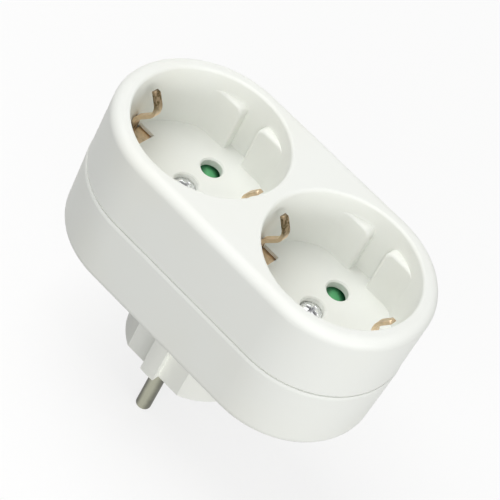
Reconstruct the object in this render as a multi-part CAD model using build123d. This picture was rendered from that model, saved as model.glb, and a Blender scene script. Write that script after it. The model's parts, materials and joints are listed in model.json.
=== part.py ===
from build123d import *
import os
from math import asin, cos, degrees, radians, sin, tan

# Two-way earthed round socket adapter, in millimetres.
# The origin is the centre of the plug's end face. Z points out of the sockets, X runs from
# socket to socket, and each pair of pins or pin holes lies along Y.

# How deep a rib, pad or tower is rooted in the wall it stands on
root = 1.0
# Lengths that differ by less than this are the same
same = 0.01

# Pin pattern shared by the plug and the sockets
pin_spacing = 19.0
pin_d = 4.0
pin_length = 18.0
pin_tip_round = 0.5
pin_hole_d = 5.6
hole_lead = 0.4

# Socket wells
well_d = 39.0
well_depth = 18.6
floor_thick = 2.2
bridge = 3.6
rim = 4.3
end_rim = 4.7
rim_round = 0.8
rim_land = 0.6

# Guide pads on the wall of each well
pad_depth = 2.9
pad_drop = 5.0
pad_gap = 5.6
pad_round = 0.8
pad_corner = 2.2
pad_blend = 6.0
pad_bite = 0.02

# Body in two halves that meet at the seam
front_depth = 20.0
rear_depth = 20.0
front_draft = 0.3
rear_draft = 1.0
rear_round = 2.5
seam_step = 0.2
seam_gap = 0.5
seam_sink = 0.6
ledge_drop = 0.8
wall = 2.0
side_wall = 2.3
skin = 2.4
tongue_thick = 1.4
tongue_drop = 1.2
tongue_play = 0.1
pocket_length = 20.0
well_wall = 2.1

# Plug on the rear half
plug_d = 34.6
plug_height = 18.4
flat_depth = 2.3
ridge_width = 4.3
plug_round = 0.6
plug_wall = 2.1
tower_d = 7.6
tower_height = 7.0
pin_play = 0.1

# Pin roots, heads and shanks inside the plug
pin_root_d = 4.8
collar_d = 6.2
collar_thick = 1.2
shank_d = 3.0
pin_head_d = 4.2
pin_head_thick = 0.8

# Line and neutral busbars with their contact clips
bus_thick = 0.8
bus_height = 8.0
bus_lift = 1.6
bus_offset = 4.1
bus_overhang = 4.0
tab_width = 8.0
tab_reach = 2.6
bend_round = 0.8
clip_thick = 0.6
clip_round = 0.7
clip_width = 7.4
clip_neck = 3.6
clip_mouth = 6.0
clip_reach = 2.6
clip_lift = 1.0
clip_headroom = 0.8
rivet_d = 2.0
rivet_head_d = 3.4
rivet_head_thick = 0.5
rivet_play = 0.05
cradle_thick = 1.4
cradle_spacing = 24.0
cradle_grip = 5.0
cradle_nose = 1.8
cradle_play = 0.1

# Earth brackets, one in each socket
earth_thick = 0.9
earth_width = 4.2
leg_play = 0.25
knee_reach = 3.9
earth_bend = 4.8
knee_low = 9.2
knee_high = 11.5
tip_back = 2.4
tip_high = 14.9
tip_width = 2.0
tip_round = 0.8
jog = 5.0
shoulder_gap = 0.3
shoulder_lap = 0.6
earth_round = 1.3
knee_round = 2.4
eye_d = 10.6
eye_play = 0.15
slot_length = 5.05
slot_width = 7.4
slot_play = 0.4
slot_skin = 1.0

# Earth strip of the plug
strip_width = 4.6
strip_thick = 0.8
strip_play = 0.5
contact_sink = 0.15
window_low = 4.0
window_high = 15.0
window_play = 0.5
strip_foot = 1.4
earth_rivet_d = 2.0
earth_rivet_at = 10.7

# Screws in the middle of each socket
screw_d = 2.9
screw_length = 12.0
screw_head_d = 5.6
screw_head_thick = 2.0
screw_head_round = 1.0
screw_point = 0.7
screw_sink = 0.6
screw_play = 0.05
recess_play = 0.3
recess_lead = 0.3
cross_length = 3.6
cross_width = 0.8
cross_depth = 1.2
cross_taper = 0.5
cup_web = 3.0
cup_wall = 1.5
lip_thick = 0.6
lip_proud = 0.7
boss_d = 6.4
pilot_floor = 1.5

# Turning safety shutters and their springs
shutter_gap = 0.3
shutter_play = 0.25
ring_thick = 1.0
ring_wall = 2.2
hub_wall = 1.1
blade_reach = 4.6
blade_half_angle = 25.0
blade_height = 3.4
blade_round = 0.8
ramp_angle = 20.0
ramp_drop = 1.0
wire_d = 0.45
coil_play = 0.15
coil_pitch = 0.5
wire_reach = 4.0
post_d = 1.6
post_play = 0.1
spring_gap = 0.3

# Places worked out from the sizes above
well_r = well_d / 2
socket_x = (well_d + bridge) / 2
pin_y = pin_spacing / 2
rear_z = plug_height
seam_z = rear_z + rear_depth
front_z = seam_z + front_depth
floor_z = front_z - well_depth
under_z = floor_z - floor_thick
inside_z = rear_z + wall
body_half = well_r + rim
front_half = body_half - seam_step
front_round = rim - seam_step - front_depth * tan(radians(front_draft)) - rim_round - rim_land
pad_offset = well_r - pad_depth
cavity_half = body_half - side_wall
tongue_half = cavity_half - tongue_play
tongue_z = min(under_z, seam_z) - tongue_drop
seat_z = floor_z - screw_sink - screw_head_thick
cup_z = seat_z - cup_web
recess_r = screw_head_d / 2 + recess_play
cup_r = recess_r + cup_wall
lip_z = cup_z + lip_thick
shutter_z = under_z - shutter_gap
ring_inner_r = cup_r + shutter_play
ring_outer_r = ring_inner_r + ring_wall
hub_r = ring_outer_r - hub_wall
blade_z = shutter_z - blade_height
earth_leg = well_r - leg_play - earth_thick / 2
earth_foot = earth_leg - jog
earth_knee = earth_leg - knee_reach
earth_tip = earth_knee + tip_back
slot_outer = earth_leg + earth_thick / 2 + slot_play
slot_inner = slot_outer - slot_length
relief_inner = earth_foot - earth_thick / 2 - slot_play
relief_z = floor_z - slot_skin
shoulder_z = relief_z - shoulder_gap - earth_thick
shoulder_width = slot_width + 2 * shoulder_lap
plug_flat = plug_d / 2 - flat_depth
bus_z = inside_z + bus_lift
bus_y = pin_y + bus_offset
rivet_z = bus_z + bus_height / 2
tower_z = plug_wall + tower_height
sockets = {"a": -socket_x, "b": socket_x}
poles = {"line": 1, "neutral": -1}


def disc(radius, low, high, x=0, y=0):
    """An upright round bar between two heights."""
    return Pos(x, y, low) * Cylinder(radius, high - low, align=(Align.CENTER, Align.CENTER, Align.MIN))


def plate(sketch, low, high):
    """A flat outline raised between two heights."""
    return Pos(0, 0, low) * extrude(sketch, high - low)


def stadium(half_width):
    """The body's outline: straight sides, and round ends set a little beyond the sockets' centres."""
    return SlotCenterToCenter(2 * (socket_x + end_rim - rim), 2 * half_width)


def half_shell(half_width, depth, draft, edge_round):
    """One moulded half of the body, tapered away from the seam and rounded at its far edge."""
    shell = extrude(stadium(half_width), depth, taper=draft)
    return fillet(shell.faces().sort_by(Axis.Z)[-1].edges(), edge_round)


def formed_strip(points, thick, width, rounds, side):
    """A strip bent along points of the XZ plane, thickened to one side and centred on Y."""
    path = FilletPolyline(*points, radius=rounds)
    outline = make_face(offset(path, amount=thick, side=side))
    return extrude(Plane.XZ * outline, width / 2, both=True)


def guide_pads():
    """Four chord pads of one well, in pairs either side of the slot that takes a plug's ridge."""
    reach = well_r + root
    height = well_depth - pad_drop
    view = Pos(pad_gap / 2, floor_z) * Rectangle(well_r - pad_blend, height, align=(Align.MIN, Align.MIN))
    view = fillet(view.vertices().sort_by(Axis.X)[:2].sort_by(Axis.Y)[-1], pad_corner)
    free = Circle(well_r + pad_bite) & Rectangle(2 * reach, 2 * pad_offset)
    free = fillet(free.vertices(), pad_blend)
    pads = plate(Circle(reach) - free, floor_z, floor_z + height)
    pads &= extrude(Plane.XZ * (view + mirror(view, Plane.YZ)), reach, both=True)
    outline = []
    for face in pads.faces().filter_by(Axis.Y):
        if abs(abs(face.center().Y) - pad_offset) < same:
            outward = sorted(face.edges(), key=lambda edge: abs(edge.center().X))
            outline += [edge for edge in outward[:-1] if edge.center().Z > floor_z + same]
    return fillet(outline, pad_round)


def cover_pockets():
    """The two hollows between the wells and the straight sides, which keep the walls even."""
    block = Rectangle(pocket_length, 2 * (tongue_half - tongue_thick))
    for x in sockets.values():
        block -= Pos(x, 0) * Circle(well_r + well_wall)
    return plate(block, tongue_z, front_z - skin)


def lead_in(radius, lead, x, y=0):
    """The bevel that eases a round hole open at the floor of a well."""
    cone = Cone(radius, radius + lead, lead, align=(Align.CENTER, Align.CENTER, Align.MAX))
    return Pos(x, y, floor_z) * cone


def socket_openings(x):
    """Pin holes, the stepped screw recess and the earth slots of one well, with their relief underneath."""
    cuts = disc(recess_r, seat_z, floor_z, x) + lead_in(recess_r, recess_lead, x)
    cuts += disc(screw_d / 2 + recess_play, cup_z, seat_z, x)
    for side in (1, -1):
        hole_r = pin_hole_d / 2
        cuts += disc(hole_r, under_z, floor_z, x, side * pin_y)
        cuts += lead_in(hole_r, hole_lead, x, side * pin_y)
        slot = Rectangle(slot_length, slot_width)
        cuts += Pos(x + side * (slot_outer + slot_inner) / 2, 0) * plate(slot, under_z, floor_z)
        relief = Rectangle(slot_outer - relief_inner, shoulder_width + 2 * slot_play)
        cuts += Pos(x + side * (slot_outer + relief_inner) / 2, 0) * plate(relief, under_z, relief_z)
    return cuts


def make_front_cover():
    """The front half: two round wells with guide pads, and a locating tongue under the seam."""
    cover = Pos(0, 0, seam_z) * half_shell(front_half, front_depth, front_draft, front_round)
    cover -= plate(stadium(body_half) - stadium(front_half - seam_sink), seam_z, seam_z + seam_gap)
    cover += plate(stadium(tongue_half), tongue_z, floor_z)
    cover -= plate(stadium(tongue_half - tongue_thick), tongue_z, under_z)
    for x in sockets.values():
        cover -= disc(well_r, floor_z, front_z + rim, x)
    rims = [e for e in cover.edges().filter_by(GeomType.CIRCLE)
            if abs(e.radius - well_r) < same and abs(e.center().Z - front_z) < same]
    cover = fillet(rims, rim_round)
    cover -= cover_pockets()
    for x in sockets.values():
        cover += Pos(x, 0) * guide_pads()
        cover += disc(cup_r, cup_z, floor_z, x) + disc(cup_r + lip_proud, cup_z, lip_z, x)
        post = spring_post_place()
        cover += disc(post_d / 2, lip_z, under_z, x + post.X, post.Y)
        cover -= socket_openings(x)
    return cover


def plug_outline(radius, flat, ridge):
    """A circle with two chord flats, and a ridge left standing in the middle of each flat."""
    body = Circle(radius) & Rectangle(2 * radius, 2 * flat)
    return body + (Circle(radius) & Rectangle(ridge, 2 * radius))


def busbar_cradles():
    """Slotted ribs on the rear wall that hold the edge of each busbar."""
    ribs = Part()
    for side in poles.values():
        inner = bus_y - cradle_nose
        outer = cavity_half + root
        for x in (-cradle_spacing / 2, cradle_spacing / 2):
            rib = Pos(x, side * (inner + outer) / 2) * Rectangle(cradle_thick, outer - inner)
            ribs += plate(rib, inside_z - root, bus_z + cradle_grip)
            slot = Pos(x, side * (bus_y + bus_thick / 2))
            slot *= Rectangle(2 * cradle_thick, bus_thick + 2 * cradle_play)
            ribs -= plate(slot, bus_z, bus_z + bus_height)
    return ribs


def make_rear_housing():
    """The rear half with the plug moulded on it, screw bosses, pin towers and busbar cradles."""
    shell = half_shell(body_half, rear_depth, rear_draft, rear_round)
    seam_face = shell.faces().sort_by(Axis.Z)[0]
    shell = chamfer(seam_face.edges(), seam_step, ledge_drop, reference=seam_face)
    housing = Pos(0, 0, seam_z) * mirror(shell, Plane.XY)
    plug = plate(plug_outline(plug_d / 2, plug_flat, ridge_width), 0, inside_z)
    end_edges = plug.faces().sort_by(Axis.Z)[0].edges()
    housing += chamfer(end_edges, plug_round)
    housing -= plate(stadium(cavity_half), inside_z, seam_z)
    hollow = Circle(plug_d / 2 - plug_wall) & Rectangle(plug_d, 2 * (plug_flat - plug_wall))
    housing -= plate(hollow, plug_wall, inside_z)
    for side in poles.values():
        housing += disc(tower_d / 2, plug_wall - root, tower_z, 0, side * pin_y)
        housing -= disc(pin_root_d / 2 + pin_play, 0, tower_z, 0, side * pin_y)
        window = Pos(side * (plug_d / 2), 0) * Rectangle(plug_d / 2, strip_width + 2 * window_play)
        housing -= plate(window, window_low, window_high)
    for x in sockets.values():
        housing += disc(boss_d / 2, inside_z, cup_z, x)
        housing -= disc(screw_d / 2 + screw_play, inside_z + pilot_floor, cup_z, x)
    return housing + busbar_cradles()


def make_pin(side):
    """A turned pin: rounded end, thicker root in the tower, collar, thin shank and peened head."""
    pin = disc(pin_d / 2, -pin_length, 0)
    pin = fillet(pin.edges().sort_by(Axis.Z)[0], pin_tip_round)
    pin += disc(pin_root_d / 2, 0, tower_z) + disc(collar_d / 2, tower_z, tower_z + collar_thick)
    top = bus_z + bus_thick
    pin += disc(shank_d / 2, tower_z, top) + disc(pin_head_d / 2, top, top + pin_head_thick)
    return Pos(0, side * pin_y) * pin


def make_busbar(side):
    """A strip on edge that links both sockets, with a tab bent in over the plug's pin."""
    length = 2 * (socket_x + bus_overhang)
    bar = Pos(0, bus_y + bus_thick / 2, bus_z + bus_height / 2) * Box(length, bus_thick, bus_height)
    tab_end = pin_y - tab_reach
    points = [(bus_y + bus_thick, bus_z + bus_height), (bus_y + bus_thick, bus_z), (tab_end, bus_z)]
    path = FilletPolyline(*points, radius=bend_round + bus_thick)
    tab = make_face(offset(path, amount=bus_thick, side=Side.RIGHT))
    bar -= Pos(0, bus_y + bus_thick / 2, bus_z) * Box(tab_width, 2 * bus_thick, 2 * (bend_round + bus_thick))
    bar += extrude(Plane.YZ * tab, tab_width / 2, both=True)
    bar -= disc(shank_d / 2 + rivet_play, bus_z - bend_round, bus_z + 2 * bend_round, 0, pin_y)
    for x in sockets.values():
        hole = Cylinder(rivet_d / 2 + rivet_play, 4 * bus_thick, rotation=(90, 0, 0))
        bar -= Pos(x, bus_y + bus_thick / 2, rivet_z) * hole
    return bar if side > 0 else mirror(bar, Plane.XZ)


def make_clip(x, side):
    """A contact clip open towards the middle: a web on the busbar and two necked leaves."""
    back = bus_y
    half = clip_width / 2
    mouth = (clip_mouth / 2, pin_y - clip_reach)
    neck = (clip_neck / 2 + clip_thick, pin_y)
    leaf = [mouth, neck, (half, back - 2 * clip_thick), (half, back)]
    points = leaf + [(-px, py) for px, py in reversed(leaf)]
    path = FilletPolyline(*points, radius=clip_round)
    low = bus_z + bus_thick + clip_lift
    clip = plate(make_face(offset(path, amount=clip_thick, side=Side.LEFT)), low, blade_z - clip_headroom)
    hole = Cylinder(rivet_d / 2 + rivet_play, 4 * clip_thick, rotation=(90, 0, 0))
    clip -= Pos(0, back, rivet_z) * hole
    clip = Pos(x, 0) * clip
    return clip if side > 0 else mirror(clip, Plane.XZ)


def make_clip_rivets():
    """Rivets that hold each contact clip flat on its busbar, with a head at either end."""
    rivets = []
    grip = bus_thick + clip_thick
    head = Cylinder(rivet_head_d / 2, rivet_head_thick)
    rivet = Cylinder(rivet_d / 2, grip)
    for end in (1, -1):
        rivet += Pos(0, 0, end * (grip + rivet_head_thick) / 2) * head
    for side in poles.values():
        middle = side * (bus_y + (bus_thick - clip_thick) / 2)
        rivets += [Pos(x, middle, rivet_z) * Rot(90, 0, 0) * rivet for x in sockets.values()]
    return Compound(children=rivets)


def make_earth_bracket(x):
    """A U of brass round the screw boss: wide shoulders under the floor, two narrow clips above it."""
    half = earth_thick / 2
    foot = [(earth_foot + half, inside_z), (earth_foot + half, shoulder_z), (earth_leg + half, shoulder_z)]
    leg = [(earth_leg + half, floor_z + earth_bend), (earth_knee + half, floor_z + knee_low),
           (earth_knee + half, floor_z + knee_high), (earth_tip + half, floor_z + tip_high)]
    points = [(-px, pz) for px, pz in reversed(foot + leg)] + foot + leg
    turns = len(foot) * [earth_round] + (len(leg) - 1) * [knee_round]
    bracket = formed_strip(points, earth_thick, shoulder_width, turns[::-1] + turns, Side.LEFT)
    tip_z = bracket.bounding_box().max.Z
    above = (Align.CENTER, Align.MIN)
    clip_view = Rectangle(tip_width, tip_z - shoulder_z, align=above)
    clip_view = fillet(clip_view.vertices().group_by(Axis.Y)[-1], tip_round)
    shoulder_view = Rectangle(shoulder_width, earth_thick, align=above)
    foot_view = Pos(0, inside_z - shoulder_z) * Rectangle(earth_width, shoulder_z - inside_z, align=above)
    view = Pos(0, shoulder_z) * (clip_view + shoulder_view + foot_view)
    bracket &= extrude(Plane.YZ * view, well_d, both=True)
    bracket += disc(eye_d / 2, inside_z, inside_z + earth_thick)
    bracket -= disc(boss_d / 2 + eye_play, inside_z, inside_z + earth_thick)
    bracket = Pos(x, 0) * bracket
    hole_r = earth_rivet_d / 2 + rivet_play
    for end in (1, -1):
        bracket -= disc(hole_r, inside_z, inside_z + earth_thick, end * earth_rivet_at)
    return bracket


def make_plug_earth_strip():
    """The strip under both brackets, whose two legs show in the windows at the plug's sides."""
    inner = plug_d / 2 - plug_wall - strip_play
    outer = plug_d / 2 - contact_sink
    step = outer - inner
    top = inside_z
    leg = [(inner, top), (inner, window_high), (outer, window_high - step),
           (outer, window_low + step), (inner, window_low), (inner, window_low - strip_foot)]
    points = [(-px, pz) for px, pz in reversed(leg)] + leg
    strip = formed_strip(points, strip_thick, strip_width, earth_round, Side.RIGHT)
    for end in (1, -1):
        strip -= disc(earth_rivet_d / 2 + rivet_play, top - strip_thick, top, end * earth_rivet_at)
    return strip


def make_earth_rivets():
    """Rivets that join the two brackets to the plug's earth strip."""
    top = inside_z + earth_thick
    low = inside_z - strip_thick
    rivets = []
    for end in (1, -1):
        at = end * earth_rivet_at
        rivet = disc(earth_rivet_d / 2, low, top, at)
        rivet += disc(rivet_head_d / 2, top, top + rivet_head_thick, at)
        rivets.append(rivet + disc(rivet_head_d / 2, low - rivet_head_thick, low, at))
    return Compound(children=rivets)


def make_screw(x):
    """A pan-head screw with a cross recess, seated in the recess of the socket's floor."""
    top = seat_z + screw_head_thick
    head = disc(screw_head_d / 2, seat_z, top)
    head = fillet(head.edges().sort_by(Axis.Z)[-1], screw_head_round)
    shank = disc(screw_d / 2, seat_z - screw_length, seat_z)
    screw = head + chamfer(shank.edges().sort_by(Axis.Z)[0], screw_point)
    for length, width in ((cross_length, cross_width), (cross_width, cross_length)):
        wide = Pos(0, 0, top) * Rectangle(length, width)
        narrow = Pos(0, 0, top - cross_depth) * Rectangle(cross_taper * length, cross_taper * width)
        screw -= loft([narrow, wide])
    return Pos(x, 0) * screw


def spring_post_place():
    """Where the fixed leg of a shutter's spring bears on the cover, from the socket's centre."""
    along = ring_outer_r + shutter_play + post_d / 2
    return Vector(along, (post_d + wire_d) / 2 + post_play)


def make_shutter(x):
    """A turning shutter: a ring on the cup's outside and two ramped blades under the pin holes."""
    shutter = disc(ring_outer_r, shutter_z - ring_thick, shutter_z)
    reach = pin_y + blade_reach
    edge = Vector(sin(radians(blade_half_angle)), cos(radians(blade_half_angle))) * 2 * reach
    spread = Polygon((0, 0), (edge.X, edge.Y), (-edge.X, edge.Y), align=None)
    sector = (Circle(reach) - Circle(hub_r)) & spread
    sector = fillet(sector.vertices().sort_by(Axis.Y)[-2:], blade_round)
    blade = plate(sector, blade_z, shutter_z)
    ramp = Box(2 * reach, 2 * reach, blade_height, align=(Align.CENTER, Align.CENTER, Align.MIN))
    ramp = Pos(0, pin_y, shutter_z - ramp_drop) * Rot(0, ramp_angle, 0) * ramp
    blade -= ramp - disc(ring_outer_r, blade_z, front_z)
    for turn in (0, 180):
        shutter += Rot(0, 0, turn) * blade
    return Pos(x, 0) * (shutter - disc(ring_inner_r, blade_z, shutter_z))


def make_spring(x):
    """A torsion spring round the cup: a short coil, one leg on the post and one beside a blade."""
    radius = cup_r + coil_play + wire_d / 2
    clear_angle = degrees(asin((wire_d / 2 + spring_gap) / hub_r))
    end_angle = 360 + 90 + blade_half_angle + clear_angle
    rise = coil_pitch * end_angle / 360
    low = lip_z + coil_play / 2 + wire_d / 2
    coil = Helix(coil_pitch, rise, radius)
    wire = sweep(Plane(coil @ 0, z_dir=coil % 0) * Circle(wire_d / 2), coil)
    wire += leg_of_wire(radius, 0, 0)
    wire += leg_of_wire(radius, end_angle, rise)
    return Pos(x, 0, low) * wire


def leg_of_wire(radius, angle, height):
    """A straight radial leg at one end of the coil, with a rounded elbow."""
    leg = Rot(0, 90, 0) * Cylinder(wire_d / 2, wire_reach, align=(Align.CENTER, Align.CENTER, Align.MIN))
    leg += Sphere(wire_d / 2)
    return Rot(0, 0, angle) * Pos(radius, 0, height) * leg


def all_parts():
    """Every piece by its name."""
    parts = {"front_cover": make_front_cover(), "rear_housing": make_rear_housing(),
             "plug_earth_strip": make_plug_earth_strip(), "clip_rivets": make_clip_rivets(),
             "earth_rivets": make_earth_rivets()}
    for pole, side in poles.items():
        parts[f"{pole}_pin"] = make_pin(side)
        parts[f"{pole}_busbar"] = make_busbar(side)
    for name, x in sockets.items():
        for pole, side in poles.items():
            parts[f"{pole}_clip_{name}"] = make_clip(x, side)
        parts[f"earth_bracket_{name}"] = make_earth_bracket(x)
        parts[f"shutter_{name}"] = make_shutter(x)
        parts[f"shutter_spring_{name}"] = make_spring(x)
        parts[f"cover_screw_{name}"] = make_screw(x)
    return parts


os.makedirs("parts", exist_ok=True)
for node, solid in all_parts().items():
    export_step(solid, f"parts/{node}.step")
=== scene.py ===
import json
import math

import bmesh
import bpy
import numpy as np
from bpy.props import FloatProperty, FloatVectorProperty, PointerProperty
from mathutils import Matrix, Vector


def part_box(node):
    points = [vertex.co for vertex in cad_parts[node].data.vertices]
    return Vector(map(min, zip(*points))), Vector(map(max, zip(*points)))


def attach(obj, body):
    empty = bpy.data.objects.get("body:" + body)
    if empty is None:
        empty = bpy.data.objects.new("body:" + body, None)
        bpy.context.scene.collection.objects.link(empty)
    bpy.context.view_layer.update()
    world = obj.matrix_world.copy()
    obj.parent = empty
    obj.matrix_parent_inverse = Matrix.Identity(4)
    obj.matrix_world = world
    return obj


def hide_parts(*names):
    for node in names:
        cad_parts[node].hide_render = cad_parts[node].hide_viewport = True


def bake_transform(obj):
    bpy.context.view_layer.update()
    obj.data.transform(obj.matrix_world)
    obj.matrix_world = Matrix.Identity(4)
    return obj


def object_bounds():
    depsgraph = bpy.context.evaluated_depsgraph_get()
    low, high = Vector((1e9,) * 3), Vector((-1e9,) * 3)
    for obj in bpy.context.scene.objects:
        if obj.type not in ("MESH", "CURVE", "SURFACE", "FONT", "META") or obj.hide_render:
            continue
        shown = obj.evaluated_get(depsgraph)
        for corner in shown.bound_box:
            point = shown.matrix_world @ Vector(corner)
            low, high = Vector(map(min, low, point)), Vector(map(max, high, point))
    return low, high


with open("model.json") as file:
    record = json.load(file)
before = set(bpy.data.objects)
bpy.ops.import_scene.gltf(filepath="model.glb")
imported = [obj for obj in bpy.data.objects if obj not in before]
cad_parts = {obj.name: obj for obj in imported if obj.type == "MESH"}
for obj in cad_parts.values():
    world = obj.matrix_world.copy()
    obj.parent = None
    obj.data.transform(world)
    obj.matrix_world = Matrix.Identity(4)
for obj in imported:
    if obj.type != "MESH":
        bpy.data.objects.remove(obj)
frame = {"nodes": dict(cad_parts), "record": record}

bl_info = {
    "name": "Socket adapter looks",
    "version": (1, 0, 0),
    "blender": (4, 5, 0),
    "location": "View3D > Sidebar > Adapter",
    "description": "Dresses the socket adapter with its finishes, screws, springs and studio",
    "category": "Object",
}

CAD_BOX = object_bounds()
SOCKETS = ("a", "b")


def colour_property(name, description, default):
    """A colour that the user can change."""
    return FloatVectorProperty(
        name=name, description=description, default=default, size=3, min=0.0, max=1.0,
        subtype="COLOR")


def length_property(name, description, default):
    """A length in metres that the user can change."""
    return FloatProperty(
        name=name, description=description, default=default, min=0.0, unit="LENGTH", precision=5)


def lengths_property(name, description, default):
    """Two lengths in metres that the user can change."""
    return FloatVectorProperty(
        name=name, description=description, default=default, size=2, min=0.0, unit="LENGTH",
        precision=5)


def share_property(name, description, default):
    """A share from none to all that the user can change."""
    return FloatProperty(
        name=name, description=description, default=default, min=0.0, max=1.0, subtype="FACTOR")


def angle_property(name, description, degrees):
    """An angle that the user can change, given here in degrees."""
    return FloatProperty(
        name=name, description=description, default=math.radians(degrees), subtype="ANGLE")


def power_property(name, description, default):
    """The power of a lamp in watts, which the user can change."""
    return FloatProperty(
        name=name, description=description, default=default, min=0.0, unit="POWER")


def place_property(name, description, default):
    """A place in metres that the user can change."""
    return FloatVectorProperty(
        name=name, description=description, default=default, subtype="TRANSLATION")


class AdapterPlastic(bpy.types.PropertyGroup):
    """Moulded plastics of the two housing halves and the shutters."""

    white: colour_property("White", "Colour of the housing", (0.89, 0.905, 0.865))
    cream: colour_property(
        "Cream", "Warmer tone that drifts through the housing", (0.88, 0.89, 0.835))
    # The two greens are a lit and a shaded copy of the shutter plastic: painted light in a spot
    # under each pin hole and painted shade around it. The rub and blotch sizes place that spot.
    green: colour_property(
        "Green", "Colour of a shutter where pins have rubbed it", (0.16, 0.58, 0.25))
    shaded_green: colour_property("Deep green", "Colour of a shutter elsewhere", (0.02, 0.14, 0.055))
    satin: share_property("Satin", "Roughness of the moulded skin", 0.5)
    grain: length_property("Grain", "Size of the skin's fine grain", 0.0005)
    grain_depth: length_property("Grain depth", "Depth of the skin's fine grain", 0.000004)
    drift: length_property("Drift", "Size of the soft changes of tone", 0.03)
    # Where the painted light spot on each shutter sits, and how wide it is.
    lit_spot_shift: length_property(
        "Rub shift", "From a pin hole's middle outwards to the spot that pins rub", 0.001)
    lit_spot: lengths_property(
        "Rub spot", "Radius where a rubbed spot starts to fade and where it ends", (0.001, 0.0027))
    blotch: length_property(
        "Blotch", "Size of the blotches that make a rubbed spot uneven", 0.00125)
    blotch_shift: length_property(
        "Blotch shift", "How far blotches shift a rubbed spot's edge", 0.0012)


class AdapterMetal(bpy.types.PropertyGroup):
    """Rolled brass, nickel-plated pins, zinc-plated screws and drawn spring wire."""

    brass: colour_property("Brass", "Colour of clean rolled brass", (0.97, 0.75, 0.52))
    # This brown dulls the brass in its brown spots, and is also painted dark reflection at the
    # clips' tips and painted shade in the slots.
    tarnish_and_shade: colour_property(
        "Tarnish", "Brown of the brass where it has dulled", (0.12, 0.085, 0.04))
    # The two nickel colours are a lit and a darkened copy: painted dark reflection on the pins'
    # sides, with a bright band between them; rub and patch below size that band and its patches.
    nickel: colour_property(
        "Nickel", "Colour of the pins where sockets have rubbed them", (0.44, 0.44, 0.35))
    nickel_dark_reflection: colour_property(
        "Nickel film", "Dark film on the sides of the pins", (0.12, 0.12, 0.096))
    zinc: colour_property("Zinc", "Colour of the plated screws", (0.93, 0.94, 0.95))
    zinc_shade: colour_property("Zinc shade", "Duller crystals in the plating", (0.82, 0.83, 0.84))
    # Painted shade in the screws' cross recess.
    zinc_recess_shade: colour_property("Zinc film", "Dark film in the screws' recess", (0.56, 0.56, 0.57))
    wire: colour_property("Wire", "Colour of the drawn spring wire", (0.50, 0.50, 0.52))
    wire_film: colour_property(
        "Wire film", "Colour of the oil film on the spring wire", (0.30, 0.30, 0.312))
    spot: length_property("Spot", "Size of the brown spots on brass", 0.0011)
    # The tip and slot ranges place painted dark on the brass: dark reflection at the clips' tips
    # and painted shade in the slots.
    tip_shade: lengths_property(
        "Tip tarnish", "From a clip's tip down to where its tarnish starts and is full",
        (0.0062, 0.0025))
    slot_top: lengths_property(
        "Slot top", "From a well's floor up to where a slot's tarnish starts and is full",
        (0.0036, 0.0022))
    slot_bottom: lengths_property(
        "Slot bottom", "From a well's floor down to where a slot's tarnish starts and is full",
        (0.0022, 0.0002))
    slot_side: lengths_property(
        "Slot side", "From a slot's middle sideways to where its tarnish starts and is full",
        (0.0036, 0.0012))
    # Half the width of the bright band between the pins' painted dark sides.
    rub: length_property(
        "Rub", "Half the width of the band along a pin that sockets have rubbed", 0.0012)
    patch: length_property("Patch", "Size of the patches in the pins' film", 0.003)
    crystal: length_property("Crystal", "Size of the zinc plate's crystals", 0.0005)
    crystal_depth: length_property("Crystal depth", "Depth of the zinc plate's crystals", 0.000001)
    oil: length_property("Oil", "Size of the spots of oil on the spring wire", 0.0012)
    streak: length_property("Streak", "Width of rolling and turning marks", 0.00018)
    streak_depth: length_property("Streak depth", "Depth of rolling and turning marks", 0.000003)


class AdapterScrew(bpy.types.PropertyGroup):
    """Cover screws and shutter springs, beyond what the frame gives."""

    shank: length_property("Shank", "Outer diameter of the screw's thread", 0.0029)
    pitch: length_property("Pitch", "Rise of the thread in one turn", 0.0011)
    thread: length_property("Thread", "Depth of the thread", 0.00036)
    head: length_property("Head", "Height of the screw's head", 0.002)
    crown: length_property("Crown", "Rise of the head's middle above its rim", 0.0009)
    cross: length_property("Cross", "Length of the cross recess", 0.0036)
    cross_width: length_property("Cross width", "Width of the cross recess at the top", 0.0009)
    cross_depth: length_property("Cross depth", "Depth of the cross recess", 0.0012)
    wire: length_property("Spring wire", "Diameter of the spring's wire", 0.00045)
    wire_bend: length_property("Wire bend", "Radius of the bends in the spring's wire", 0.0005)


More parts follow.
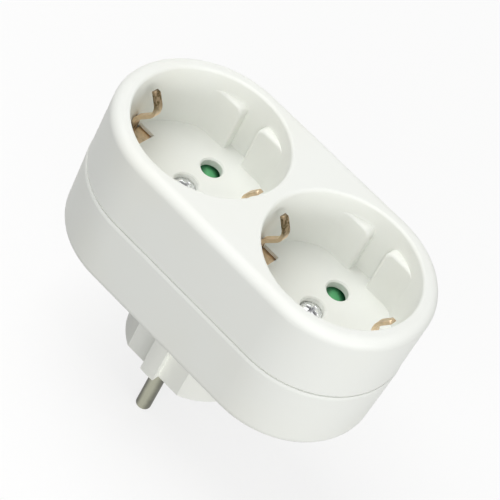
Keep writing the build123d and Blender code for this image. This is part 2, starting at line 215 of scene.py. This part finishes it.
class AdapterStage(bpy.types.PropertyGroup):
    """Floor, lamps and camera."""

    floor: colour_property("Floor", "Colour of the floor as it is seen", (0.95, 0.95, 0.945))
    bounce: colour_property(
        "Bounce", "Colour of the floor as it lights the adapter from below", (0.3, 0.3, 0.29))
    white_out: share_property("White out", "How far the seen floor is lifted to white", 0.75)
    sky: share_property("Sky", "Strength of the even light from all round", 0.32)
    key: power_property("Key", "Power of the high lamp on the left", 3.65)
    key_place: place_property(
        "Key place", "Where the high lamp on the left stands", (-0.34, -0.04, 0.77))
    key_height: length_property("Key height", "Height of the high lamp on the left", 0.6)
    front: power_property("Front", "Power of the lamp in front", 2.25)
    front_place: place_property(
        "Front place", "Where the lamp in front stands", (0.24, -0.66, 0.45))
    front_height: length_property("Front height", "Height of the lamp in front", 0.6)
    fill: power_property("Fill", "Power of the low lamp on the right", 2.7)
    fill_place: place_property(
        "Fill place", "Where the low lamp on the right stands", (0.75, -0.28, 0.15))
    fill_height: length_property("Fill height", "Height of the low lamp on the right", 0.25)
    back: power_property("Back", "Power of the low lamp behind", 1.0)
    back_place: place_property(
        "Back place", "Where the low lamp behind stands", (-0.25, 0.75, 0.2))
    back_height: length_property("Back height", "Height of the low lamp behind", 0.25)
    lamp_width: length_property("Lamp width", "Width of each soft lamp", 0.6)
    floor_reach: length_property("Floor reach", "From the middle of the floor to its edges", 3.0)
    floor_gap: length_property("Floor gap", "From the pins' ends down to the floor", 0.0002)
    fade: lengths_property(
        "Fade", "How far out the seen floor starts to turn white, and is fully white", (0.15, 0.6))
    azimuth: angle_property("Azimuth", "Camera's turn from the front towards the right", 20.56)
    elevation: angle_property("Elevation", "Camera's height above the horizon", 44.95)
    roll: angle_property("Roll", "Camera's turn about its own line of sight", 29.70)
    distance: length_property("Distance", "From the camera to the point it looks at", 0.4618)
    aim: place_property("Aim", "Point that the camera looks at", (0.0043, -0.0090, 0.0484))
    lens: FloatProperty(
        name="Lens", description="Focal length in millimetres", default=147.67, min=1.0,
        unit="CAMERA")
    near: length_property("Near", "Nearest distance that the camera sees", 0.01)


class Shade:
    """One output socket of a material. Arithmetic on shades adds Math nodes to its tree."""

    def __init__(self, socket):
        self.socket = socket

    def node(self, kind, settings, sockets, out=0):
        """Adds any node: its settings first, then a value or a link on each of its sockets."""
        tree = self.socket.id_data
        made = tree.nodes.new(kind)
        for name, value in settings.items():
            setattr(made, name, value)
        for name, value in sockets.items():
            if isinstance(value, Shade):
                tree.links.new(value.socket, made.inputs[name])
            else:
                made.inputs[name].default_value = value
        return Shade(made.outputs[out])

    def math(self, operation, first, second=0.0):
        """Adds one Math node."""
        return self.node("ShaderNodeMath", {"operation": operation}, {0: first, 1: second})

    def __add__(self, other):
        return self.math("ADD", self, other)

    def __radd__(self, other):
        return self.math("ADD", other, self)

    def __sub__(self, other):
        return self.math("SUBTRACT", self, other)

    def __rsub__(self, other):
        return self.math("SUBTRACT", other, self)

    def __mul__(self, other):
        return self.math("MULTIPLY", self, other)

    def __rmul__(self, other):
        return self.math("MULTIPLY", other, self)

    def __abs__(self):
        return self.math("ABSOLUTE", self)

    def root(self):
        """The square root of this value."""
        return self.math("SQRT", self)

    def fraction(self):
        """What is left of this value above the whole number below it."""
        return self.math("FRACT", self)

    def larger(self, other):
        """The larger of two values."""
        return self.math("MAXIMUM", self, other)

    def length(self):
        """The length of a vector."""
        return self.node("ShaderNodeVectorMath", {"operation": "LENGTH"}, {0: self}, out="Value")

    def stretched(self, scale):
        """The same coordinates, scaled along each axis."""
        return self.node("ShaderNodeVectorMath", {"operation": "MULTIPLY"}, {0: self, 1: scale})

    def noise(self, size, detail=2.0):
        """Soft noise from 0 to 1 whose spots are about size metres wide."""
        return self.node("ShaderNodeTexNoise", {},
                         {"Vector": self, "Scale": 1.0 / size, "Detail": detail})

    def between(self, low, high):
        """This value spread so that low becomes 0 and high becomes 1, with soft ends."""
        return self.node("ShaderNodeMapRange", {"interpolation_type": "SMOOTHSTEP"},
                         {"Value": self, "From Min": low, "From Max": high})

    def blend(self, first, second):
        """A colour from first to second as this value goes from 0 to 1.

        Each of the two is a shade or a plain colour.
        """
        first, second = (c if isinstance(c, Shade) else (*c, 1.0) for c in (first, second))
        return self.node("ShaderNodeMix", {"data_type": "RGBA"},
                         {0: self, 6: first, 7: second}, out=2)

    def relief(self, depth):
        """A bumped normal from this height, whose full range is depth metres."""
        return self.node("ShaderNodeBump", {},
                         {"Height": self, "Distance": depth, "Strength": 1.0})

    def part(self, axis):
        """One coordinate of a vector, by its letter."""
        return self.node("ShaderNodeSeparateXYZ", {}, {0: self}, out=axis)


def start_material(name):
    """A new material, with its Object coordinates as a shade to build on."""
    material = bpy.data.materials.new(name)
    material.use_nodes = True
    coordinates = material.node_tree.nodes.new("ShaderNodeTexCoord")
    return material, Shade(coordinates.outputs["Object"])


def finish_material(material, sockets):
    """Sets or links the sockets of the material's Principled shader."""
    tree = material.node_tree
    shader = tree.nodes["Principled BSDF"]
    for name, value in sockets.items():
        if isinstance(value, Shade):
            tree.links.new(value.socket, shader.inputs[name])
        else:
            shader.inputs[name].default_value = value
    return material


def housing_plastic(plastic):
    """White moulded plastic: a soft drift of tone, a satin skin and a very fine grain."""
    material, place = start_material("housing_plastic")
    tone = place.noise(plastic.drift).between(0.35, 0.7)
    grain = place.noise(plastic.grain, 3.0)
    return finish_material(material, {
        "Base Color": tone.blend(plastic.white, plastic.cream),
        "Roughness": plastic.satin - 0.05 + 0.1 * grain + 0.04 * tone,
        "Normal": grain.relief(plastic.grain_depth),
        "IOR": 1.5,
    })


def shutter_plastic(plastic, spot_x, spot_y):
    """Green moulded plastic with a waxy skin, with painted light and shade at each pin hole.

    A painted light spot lies under each pin hole, with painted shade around it. The distance
    from the spot's middle is the root of u^2 + v^2, with u = |x| - spot_x and v = |y| - spot_y.
    """
    material, place = start_material("shutter_plastic")
    blotches = place.noise(plastic.blotch, 3.0)
    u = abs(place.part("X")) - spot_x
    v = abs(place.part("Y")) - spot_y
    # Painted light in the spot under each pin hole, fading to painted shade around it.
    away = (u * u + v * v).root() + plastic.blotch_shift * (blotches - 0.5)
    grain = place.noise(plastic.grain)
    return finish_material(material, {
        "Base Color": away.between(*plastic.lit_spot).blend(plastic.green, plastic.shaded_green),
        "Roughness": 0.3 + 0.12 * grain,
        "Normal": grain.relief(plastic.grain_depth),
        "IOR": 1.5,
    })


def rolled_brass(metal, spacing, tip, floor):
    """Brass strip: streaks along it, brown spots, and painted dark on the clips' tips and slots.

    The tips carry painted dark reflection and the slots painted shade, both strongest on the left
    clip of each socket. The sockets stand half a spacing either side of x = 0, so a left clip is
    where the fraction of x / spacing + 1 / 2 is above a half. In the slots, the painted shade is a
    product of three ramps: from above and from below towards the well's floor, and sideways
    towards y = 0.
    """
    material, place = start_material("rolled_brass")
    across = 1.0 / metal.streak
    along = 0.04 * across
    streaks = place.stretched((along, across, along)).noise(1.0)
    spots = place.noise(metal.spot, 3.0).between(0.42, 0.68)
    # Painted dark reflection at the clips' tips and painted shade in the slots, stronger on the
    # left clips.
    left = (0.5 + (1.0 / spacing) * place.part("X")).fraction().between(0.47, 0.53)
    height = place.part("Z")
    tips = height.between(*(tip - down for down in metal.tip_shade))
    slots = (height.between(*(floor + up for up in metal.slot_top))
             * height.between(*(floor - down for down in metal.slot_bottom))
             * abs(place.part("Y")).between(*metal.slot_side))
    marks = (0.25 + 0.75 * left) * tips.larger(slots)
    dull_and_shade = 0.07 * spots + 0.05 * streaks + marks * (0.7 + 0.3 * spots)
    return finish_material(material, {
        "Base Color": dull_and_shade.blend(metal.brass, metal.tarnish_and_shade),
        "Metallic": 1.0,
        "Roughness": 0.28 + 0.1 * streaks + 0.12 * marks,
        "Normal": streaks.relief(metal.streak_depth),
    })


def plated_pin(metal):
    """Turned and nickel-plated pin: fine rings, and painted dark reflection at its sides.

    A bright band runs between the painted sides. With r half the band's width, the painted dark
    goes from none at 0.3 r to full at 1.5 r off the line x = 0.35 r, and patches shift it by up
    to r / 4.
    """
    material, place = start_material("plated_pin")
    along = 1.0 / metal.streak
    across = 0.02 * along
    rings = place.stretched((across, across, along)).noise(1.0)
    patches = place.noise(metal.patch, 3.0)
    # Painted dark reflection on the pins' sides, off a bright band.
    off_band = abs(place.part("X") - 0.35 * metal.rub)
    film = (off_band + 0.5 * metal.rub * (patches - 0.5)).between(0.3 * metal.rub, 1.5 * metal.rub)
    return finish_material(material, {
        "Base Color": film.blend(metal.nickel, metal.nickel_dark_reflection),
        "Metallic": 1.0,
        "Roughness": 0.26 + 0.1 * rings + 0.12 * film,
        "Normal": rings.relief(metal.streak_depth),
    })


def zinc_plate(metal, screw, off_middle):
    """Bright zinc plate: small crystals of two greys, and painted shade in the cross recess.

    With u = ||x| - off_middle| and v = |y|, the painted shade lies in two arms: where u is under
    half the recess's width and v under half its length, and the other way round.
    """
    material, place = start_material("zinc_plate")
    crystals = place.noise(metal.crystal).between(0.35, 0.7)
    u = abs(abs(place.part("X")) - off_middle)
    v = abs(place.part("Y"))
    one, other = (across.between(0.5 * screw.cross_width, 0.3 * screw.cross_width)
                  * along.between(0.5 * screw.cross, 0.4 * screw.cross)
                  for across, along in ((u, v), (v, u)))
    # Painted shade in the cross recess.
    recess = one.larger(other)
    plate = crystals.blend(metal.zinc, metal.zinc_shade)
    return finish_material(material, {
        "Base Color": recess.blend(plate, metal.zinc_recess_shade),
        "Metallic": 1.0,
        "Roughness": 0.24 + 0.12 * crystals + 0.1 * recess,
        "Normal": crystals.relief(metal.crystal_depth),
    })


def drawn_wire(metal):
    """Spring steel wire with a thin oiled film."""
    material, place = start_material("drawn_wire")
    film = place.noise(metal.oil)
    return finish_material(material, {
        "Base Color": film.blend(metal.wire, metal.wire_film),
        "Metallic": 1.0,
        "Roughness": 0.25 + 0.15 * film,
        "Normal": film.relief(metal.streak_depth),
    })


def mount_place(name):
    """Where the record puts one of its mounts."""
    return next(row["pos_m"] for row in frame["record"]["mounts"] if row["name"] == name)


def nodes_in(slot):
    """The frame's objects whose record names this material slot."""
    return [frame["nodes"][row["node"]] for row in frame["record"]["subparts"]
            if row["material_slot"] == slot]


def dress(objects, material):
    """Gives every material slot of these objects one finish."""
    for piece in objects:
        for slot in piece.material_slots:
            slot.material = material


def surface_mesh(name, points):
    """A mesh from a grid of points, rows by columns, where each row closes on itself.

    Corner (i, j) joins (i + 1, j), (i + 1, j + 1) and (i, j + 1).
    """
    rows, columns = points.shape[:2]
    index = np.arange(rows * columns).reshape(rows, columns)
    upper = index[:-1]
    lower = index[1:]
    quads = np.stack((upper, lower, np.roll(lower, -1, 1), np.roll(upper, -1, 1)), -1)
    mesh = bpy.data.meshes.new(name)
    mesh.from_pydata(points.reshape(-1, 3), [], quads.reshape(-1, 4))
    mesh.validate()
    return mesh


def settle(mesh, merge=1e-7):
    """Merges doubled points, closes open ends and turns the faces outwards."""
    work = bmesh.new()
    work.from_mesh(mesh)
    bmesh.ops.remove_doubles(work, verts=work.verts, dist=merge)
    bmesh.ops.holes_fill(work, edges=[e for e in work.edges if e.is_boundary])
    bmesh.ops.recalc_face_normals(work, faces=work.faces)
    work.to_mesh(mesh)
    work.free()
    mesh.shade_smooth()
    return mesh


def add_piece(mesh, node, material):
    """Puts a finished mesh in the scene in place of a node, with its finish and material slot."""
    piece = bpy.data.objects.new(mesh.name, mesh)
    bpy.context.scene.collection.objects.link(piece)
    mesh.materials.append(material)
    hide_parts(node)
    return piece


def screw_surface(screw, low, high, columns=120, over_rows=60, under_rows=8, rows_per_turn=14):
    """Points of a cover screw between its box's corners.

    Row s runs from the crown over the rim, under the head and down the thread to the point, and
    column t goes round. The head's height falls as the square of the radius. The cross recess
    lowers it by its depth times the larger of two arms, each a product of ramps from the arm's
    sides and from its ends. The thread adds a triangle wave of z / pitch less t / (2 pi) to the
    core's radius.
    """
    side_ramp, end_ramp = 1.6, 2.2
    centre = (low + high) / 2
    head_r = (high.x - low.x) / 2
    core = screw.shank / 2 - screw.thread
    seat = high.z - screw.head
    rim_foot = seat + (screw.head - screw.crown) / 4
    turn = np.linspace(0, 2 * np.pi, columns, endpoint=False)
    over = np.linspace(0, 1, over_rows)
    under = np.linspace(1, 0, under_rows)
    shank_z = np.linspace(seat, low.z, int((seat - low.z) / screw.pitch * rows_per_turn))
    taper = np.clip((shank_z - low.z) / screw.shank, 0, 1)
    radius = np.concatenate(
        (head_r * over, [head_r], core + (head_r - core) * under, core * taper))
    height = np.concatenate(
        (high.z - screw.crown * over ** 2, [rim_foot], np.full(under_rows, seat), shank_z))
    threaded = np.concatenate((np.zeros(over_rows + 1 + under_rows), np.clip(taper * 2, 0, 1)))
    wave = 1 - np.abs(2 * ((height[:, None] / screw.pitch - turn / (2 * np.pi)) % 1) - 1)
    reach = radius[:, None] + threaded[:, None] * screw.thread * wave * (radius[:, None] > 0)
    x = reach * np.cos(turn)
    y = reach * np.sin(turn)
    arms = [np.clip(side_ramp * (1 - np.abs(across) / (screw.cross_width / 2)), 0, 1)
            * np.clip(end_ramp * (1 - np.abs(along) / (screw.cross / 2)), 0, 1)
            for across, along in ((x, y), (y, x))]
    on_top = np.arange(len(radius))[:, None] < over_rows
    z = height[:, None] - screw.cross_depth * np.maximum(*arms) * on_top
    return np.stack((centre.x + x, centre.y + y, z), -1)


def spring_path(low, high, centre, wire, bend, bend_steps=8, coil_steps=180):
    """Middle line of a spring in its box, from the leg on the post to the leg beside a blade.

    With coil radius R, bend radius b and legs that reach L from the middle, the legs run from L to
    R + b at angles 0 and a. Between them, quarter turns of radius b lead in and out of the helix
    (R cos t, R sin t), for t from b / R to a - b / R. The last leg's end sets a: its far corner is
    at the box's highest y.
    """
    radius = centre.x - low.x - wire / 2
    reach = high.x - centre.x
    angle = (3 * np.pi - np.arcsin((high.y - centre.y) / np.hypot(reach, wire / 2))
             + np.arctan2(wire / 2, reach))
    turn = np.linspace(0, np.pi / 2, bend_steps, endpoint=False)
    lead = np.stack((radius + bend - bend * np.sin(turn), bend - bend * np.cos(turn)), -1)
    lead = np.concatenate(([(reach, 0.0)], lead))
    t = np.linspace(bend / radius, angle - bend / radius, coil_steps)
    helix = radius * np.stack((np.cos(t), np.sin(t)), -1)
    back = lead[::-1] * (1, -1)
    turned = np.stack((back @ (np.cos(angle), -np.sin(angle)),
                       back @ (np.sin(angle), np.cos(angle))), -1)
    flat = np.concatenate((lead, helix, turned)) + (centre.x, centre.y)
    rise = np.concatenate(
        (np.zeros(len(lead)), np.linspace(0, 1, len(helix)), np.ones(len(turned))))
    height = low.z + wire / 2 + rise * (high.z - low.z - wire)
    return np.column_stack((flat, height))


def wire_surface(path, wire, columns=16):
    """Points of a round wire: a circle carried along a path, square to it.

    Column t of row s is path(s) plus half the wire's diameter times cos t sideways and sin t
    upwards, where sideways is level and square to the path.
    """
    along = np.gradient(path, axis=0)
    along /= np.linalg.norm(along, axis=1, keepdims=True)
    side = np.cross((0.0, 0.0, 1.0), along)
    side /= np.linalg.norm(side, axis=1, keepdims=True)
    rise = np.cross(along, side)
    turn = np.linspace(0, 2 * np.pi, columns, endpoint=False)
    ring = (side[:, None] * np.cos(turn)[None, :, None]
            + rise[:, None] * np.sin(turn)[None, :, None])
    return path[:, None] + wire / 2 * ring


class ADAPTER_OT_housings(bpy.types.Operator):
    """Finishes the two housing halves in white plastic"""

    bl_idname = "adapter.housings"
    bl_label = "Finish the housings"

    def execute(self, context):
        dress(nodes_in("white_plastic"), housing_plastic(context.scene.adapter_plastic))
        return {"FINISHED"}


class ADAPTER_OT_brass(bpy.types.Operator):
    """Finishes the earth brackets, busbars, clips and rivets in brass"""

    bl_idname = "adapter.brass"
    bl_label = "Finish the brass"

    def execute(self, context):
        low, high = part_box("earth_bracket_b")
        spacing = low.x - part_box("earth_bracket_a")[0].x
        floor = mount_place("socket_b_floor")[2]
        dress(nodes_in("brass"), rolled_brass(context.scene.adapter_metal, spacing, high.z, floor))
        return {"FINISHED"}


class ADAPTER_OT_pins(bpy.types.Operator):
    """Finishes the plug's pins in nickel plate"""

    bl_idname = "adapter.pins"
    bl_label = "Finish the pins"

    def execute(self, context):
        dress(nodes_in("nickel_brass"), plated_pin(context.scene.adapter_metal))
        return {"FINISHED"}


class ADAPTER_OT_shutters(bpy.types.Operator):
    """Finishes the shutters in green plastic"""

    bl_idname = "adapter.shutters"
    bl_label = "Finish the shutters"

    def execute(self, context):
        plastic = context.scene.adapter_plastic
        x, y, _ = mount_place("socket_b_line_hole")
        # The painted light spot sits a little outwards of the line pin hole.
        dress(nodes_in("green_plastic"), shutter_plastic(plastic, x, y + plastic.lit_spot_shift))
        return {"FINISHED"}


class ADAPTER_OT_screws(bpy.types.Operator):
    """Makes the cover screws with their cross recess and thread"""

    bl_idname = "adapter.screws"
    bl_label = "Make the screws"

    def execute(self, context):
        screw = context.scene.adapter_screw
        low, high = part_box("cover_screw_b")
        material = zinc_plate(context.scene.adapter_metal, screw, (low.x + high.x) / 2)
        for name in SOCKETS:
            node = f"cover_screw_{name}"
            points = screw_surface(screw, *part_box(node))
            mesh = settle(surface_mesh(f"threaded_screw_{name}", points))
            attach(add_piece(mesh, node, material), "body")
        dress(nodes_in("zinc_steel"), material)
        return {"FINISHED"}


class ADAPTER_OT_springs(bpy.types.Operator):
    """Makes the shutters' springs"""

    bl_idname = "adapter.springs"
    bl_label = "Make the springs"

    def execute(self, context):
        screw = context.scene.adapter_screw
        material = drawn_wire(context.scene.adapter_metal)
        for name in SOCKETS:
            node = f"shutter_spring_{name}"
            low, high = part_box(node)
            centre = sum(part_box(f"cover_screw_{name}"), Vector()) / 2
            path = spring_path(low, high, centre, screw.wire, screw.wire_bend)
            mesh = settle(surface_mesh(f"wound_spring_{name}", wire_surface(path, screw.wire)))
            piece = add_piece(mesh, node, material)
            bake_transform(piece)
        dress(nodes_in("spring_steel"), material)
        return {"FINISHED"}


def seen_rays(tree):
    """1 where a ray comes from the camera, a mirror or a clear piece, and 0 for soft light."""
    rays = tree.nodes.new("ShaderNodeLightPath")
    camera, glossy, through = (Shade(rays.outputs[name]) for name in
                               ("Is Camera Ray", "Is Glossy Ray", "Is Transmission Ray"))
    return camera + glossy + through


def floor_material(stage):
    """Pale floor: matt and darker where it lights the adapter, lifted to white where it is seen.

    The lift grows to full white with the distance from the middle, so the floor has no far edge.
    """
    material, place = start_material("pale_floor")
    tree = material.node_tree
    seen = seen_rays(tree)
    finish_material(material, {
        "Base Color": seen.blend(stage.bounce, stage.floor),
        "Roughness": 1.0,
        "Specular IOR Level": 0.0,
    })
    matt = Shade(tree.nodes["Principled BSDF"].outputs["BSDF"])
    glow = seen.node("ShaderNodeEmission", {}, {"Color": (1.0, 1.0, 1.0, 1.0), "Strength": 1.0})
    lift = stage.white_out + (1.0 - stage.white_out) * place.length().between(*stage.fade)
    mixed = seen.node("ShaderNodeMixShader", {}, {0: lift * seen, 1: matt, 2: glow})
    tree.links.new(mixed.socket, tree.nodes["Material Output"].inputs["Surface"])
    return material


def add_floor(stage):
    """A wide level floor under the pins' ends."""
    level = CAD_BOX[0][2] - stage.floor_gap
    corners = [(x * stage.floor_reach, y * stage.floor_reach, level)
               for x, y in ((-1, -1), (1, -1), (1, 1), (-1, 1))]
    mesh = bpy.data.meshes.new("floor")
    mesh.from_pydata(corners, [], [(0, 1, 2, 3)])
    mesh.materials.append(floor_material(stage))
    floor = bpy.data.objects.new("floor", mesh)
    bpy.context.scene.collection.objects.link(floor)


def add_lamp(stage, name):
    """One of the stage's soft lamps, a level rectangle that faces the adapter."""
    lamp = bpy.data.lights.new(name, "AREA")
    lamp.shape = "RECTANGLE"
    lamp.energy = getattr(stage, name)
    lamp.size = stage.lamp_width
    lamp.size_y = getattr(stage, f"{name}_height")
    holder = bpy.data.objects.new(name, lamp)
    bpy.context.scene.collection.objects.link(holder)
    holder.visible_camera = False
    place = Vector(getattr(stage, f"{name}_place"))
    away = place - Vector(stage.aim)
    facing = away.to_track_quat("Z", "Y").to_matrix().to_4x4()
    holder.matrix_world = Matrix.Translation(place) @ facing


def add_sky(stage):
    """Faint even light from all round, seen as white."""
    world = bpy.data.worlds.new("studio")
    world.use_nodes = True
    tree = world.node_tree
    back = tree.nodes["Background"]
    back.inputs["Color"].default_value = (1.0, 1.0, 1.0, 1.0)
    strength = stage.sky + (1.0 - stage.sky) * seen_rays(tree)
    tree.links.new(strength.socket, back.inputs["Strength"])
    bpy.context.scene.world = world


def add_camera(stage):
    """The camera, from its azimuth, elevation, roll, distance and aim."""
    back = Vector((math.sin(stage.azimuth) * math.cos(stage.elevation),
                   -math.cos(stage.azimuth) * math.cos(stage.elevation),
                   math.sin(stage.elevation)))
    level = Vector((math.cos(stage.azimuth), math.sin(stage.azimuth), 0.0))
    upright = back.cross(level)
    right = math.cos(stage.roll) * level + math.sin(stage.roll) * upright
    up = back.cross(right)
    eye = Vector(stage.aim) + stage.distance * back
    data = bpy.data.cameras.new("camera")
    data.lens = stage.lens
    data.clip_start = stage.near
    camera = bpy.data.objects.new("camera", data)
    bpy.context.scene.collection.objects.link(camera)
    camera.matrix_world = Matrix.Translation(eye) @ Matrix((right, up, back)).transposed().to_4x4()
    bpy.context.scene.camera = camera


class ADAPTER_OT_stage(bpy.types.Operator):
    """Sets up the floor, the light and the camera"""

    bl_idname = "adapter.stage"
    bl_label = "Set the stage"

    def execute(self, context):
        stage = context.scene.adapter_stage
        add_floor(stage)
        add_sky(stage)
        for name in ("key", "front", "fill", "back"):
            add_lamp(stage, name)
        add_camera(stage)
        context.scene.view_settings.view_transform = "Standard"
        return {"FINISHED"}


GROUPS = {
    "adapter_plastic": AdapterPlastic,
    "adapter_metal": AdapterMetal,
    "adapter_screw": AdapterScrew,
    "adapter_stage": AdapterStage,
}
OPERATORS = (ADAPTER_OT_housings, ADAPTER_OT_brass, ADAPTER_OT_pins, ADAPTER_OT_shutters,
             ADAPTER_OT_screws, ADAPTER_OT_springs, ADAPTER_OT_stage)


class ADAPTER_PT_looks(bpy.types.Panel):
    """Lists the steps and the sizes and colours that they use"""

    bl_label = "Socket adapter"
    bl_idname = "ADAPTER_PT_looks"
    bl_space_type = "VIEW_3D"
    bl_region_type = "UI"
    bl_category = "Adapter"

    def draw(self, context):
        for step in OPERATORS:
            self.layout.operator(step.bl_idname)
        for name, group in GROUPS.items():
            box = self.layout.box()
            for item in group.__annotations__:
                box.prop(getattr(context.scene, name), item)


CLASSES = (*GROUPS.values(), *OPERATORS, ADAPTER_PT_looks)


def register():
    """Adds the classes, and the property groups to the scene."""
    for item in CLASSES:
        bpy.utils.register_class(item)
    for name, group in GROUPS.items():
        setattr(bpy.types.Scene, name, PointerProperty(type=group))


def unregister():
    """Takes the property groups and the classes away again."""
    for name in GROUPS:
        delattr(bpy.types.Scene, name)
    for item in reversed(CLASSES):
        bpy.utils.unregister_class(item)


def main():
    """Runs every step in order."""
    register()
    bpy.ops.adapter.housings()
    bpy.ops.adapter.brass()
    bpy.ops.adapter.pins()
    bpy.ops.adapter.shutters()
    bpy.ops.adapter.screws()
    bpy.ops.adapter.springs()
    bpy.ops.adapter.stage()


if __name__ == "__main__":
    main()
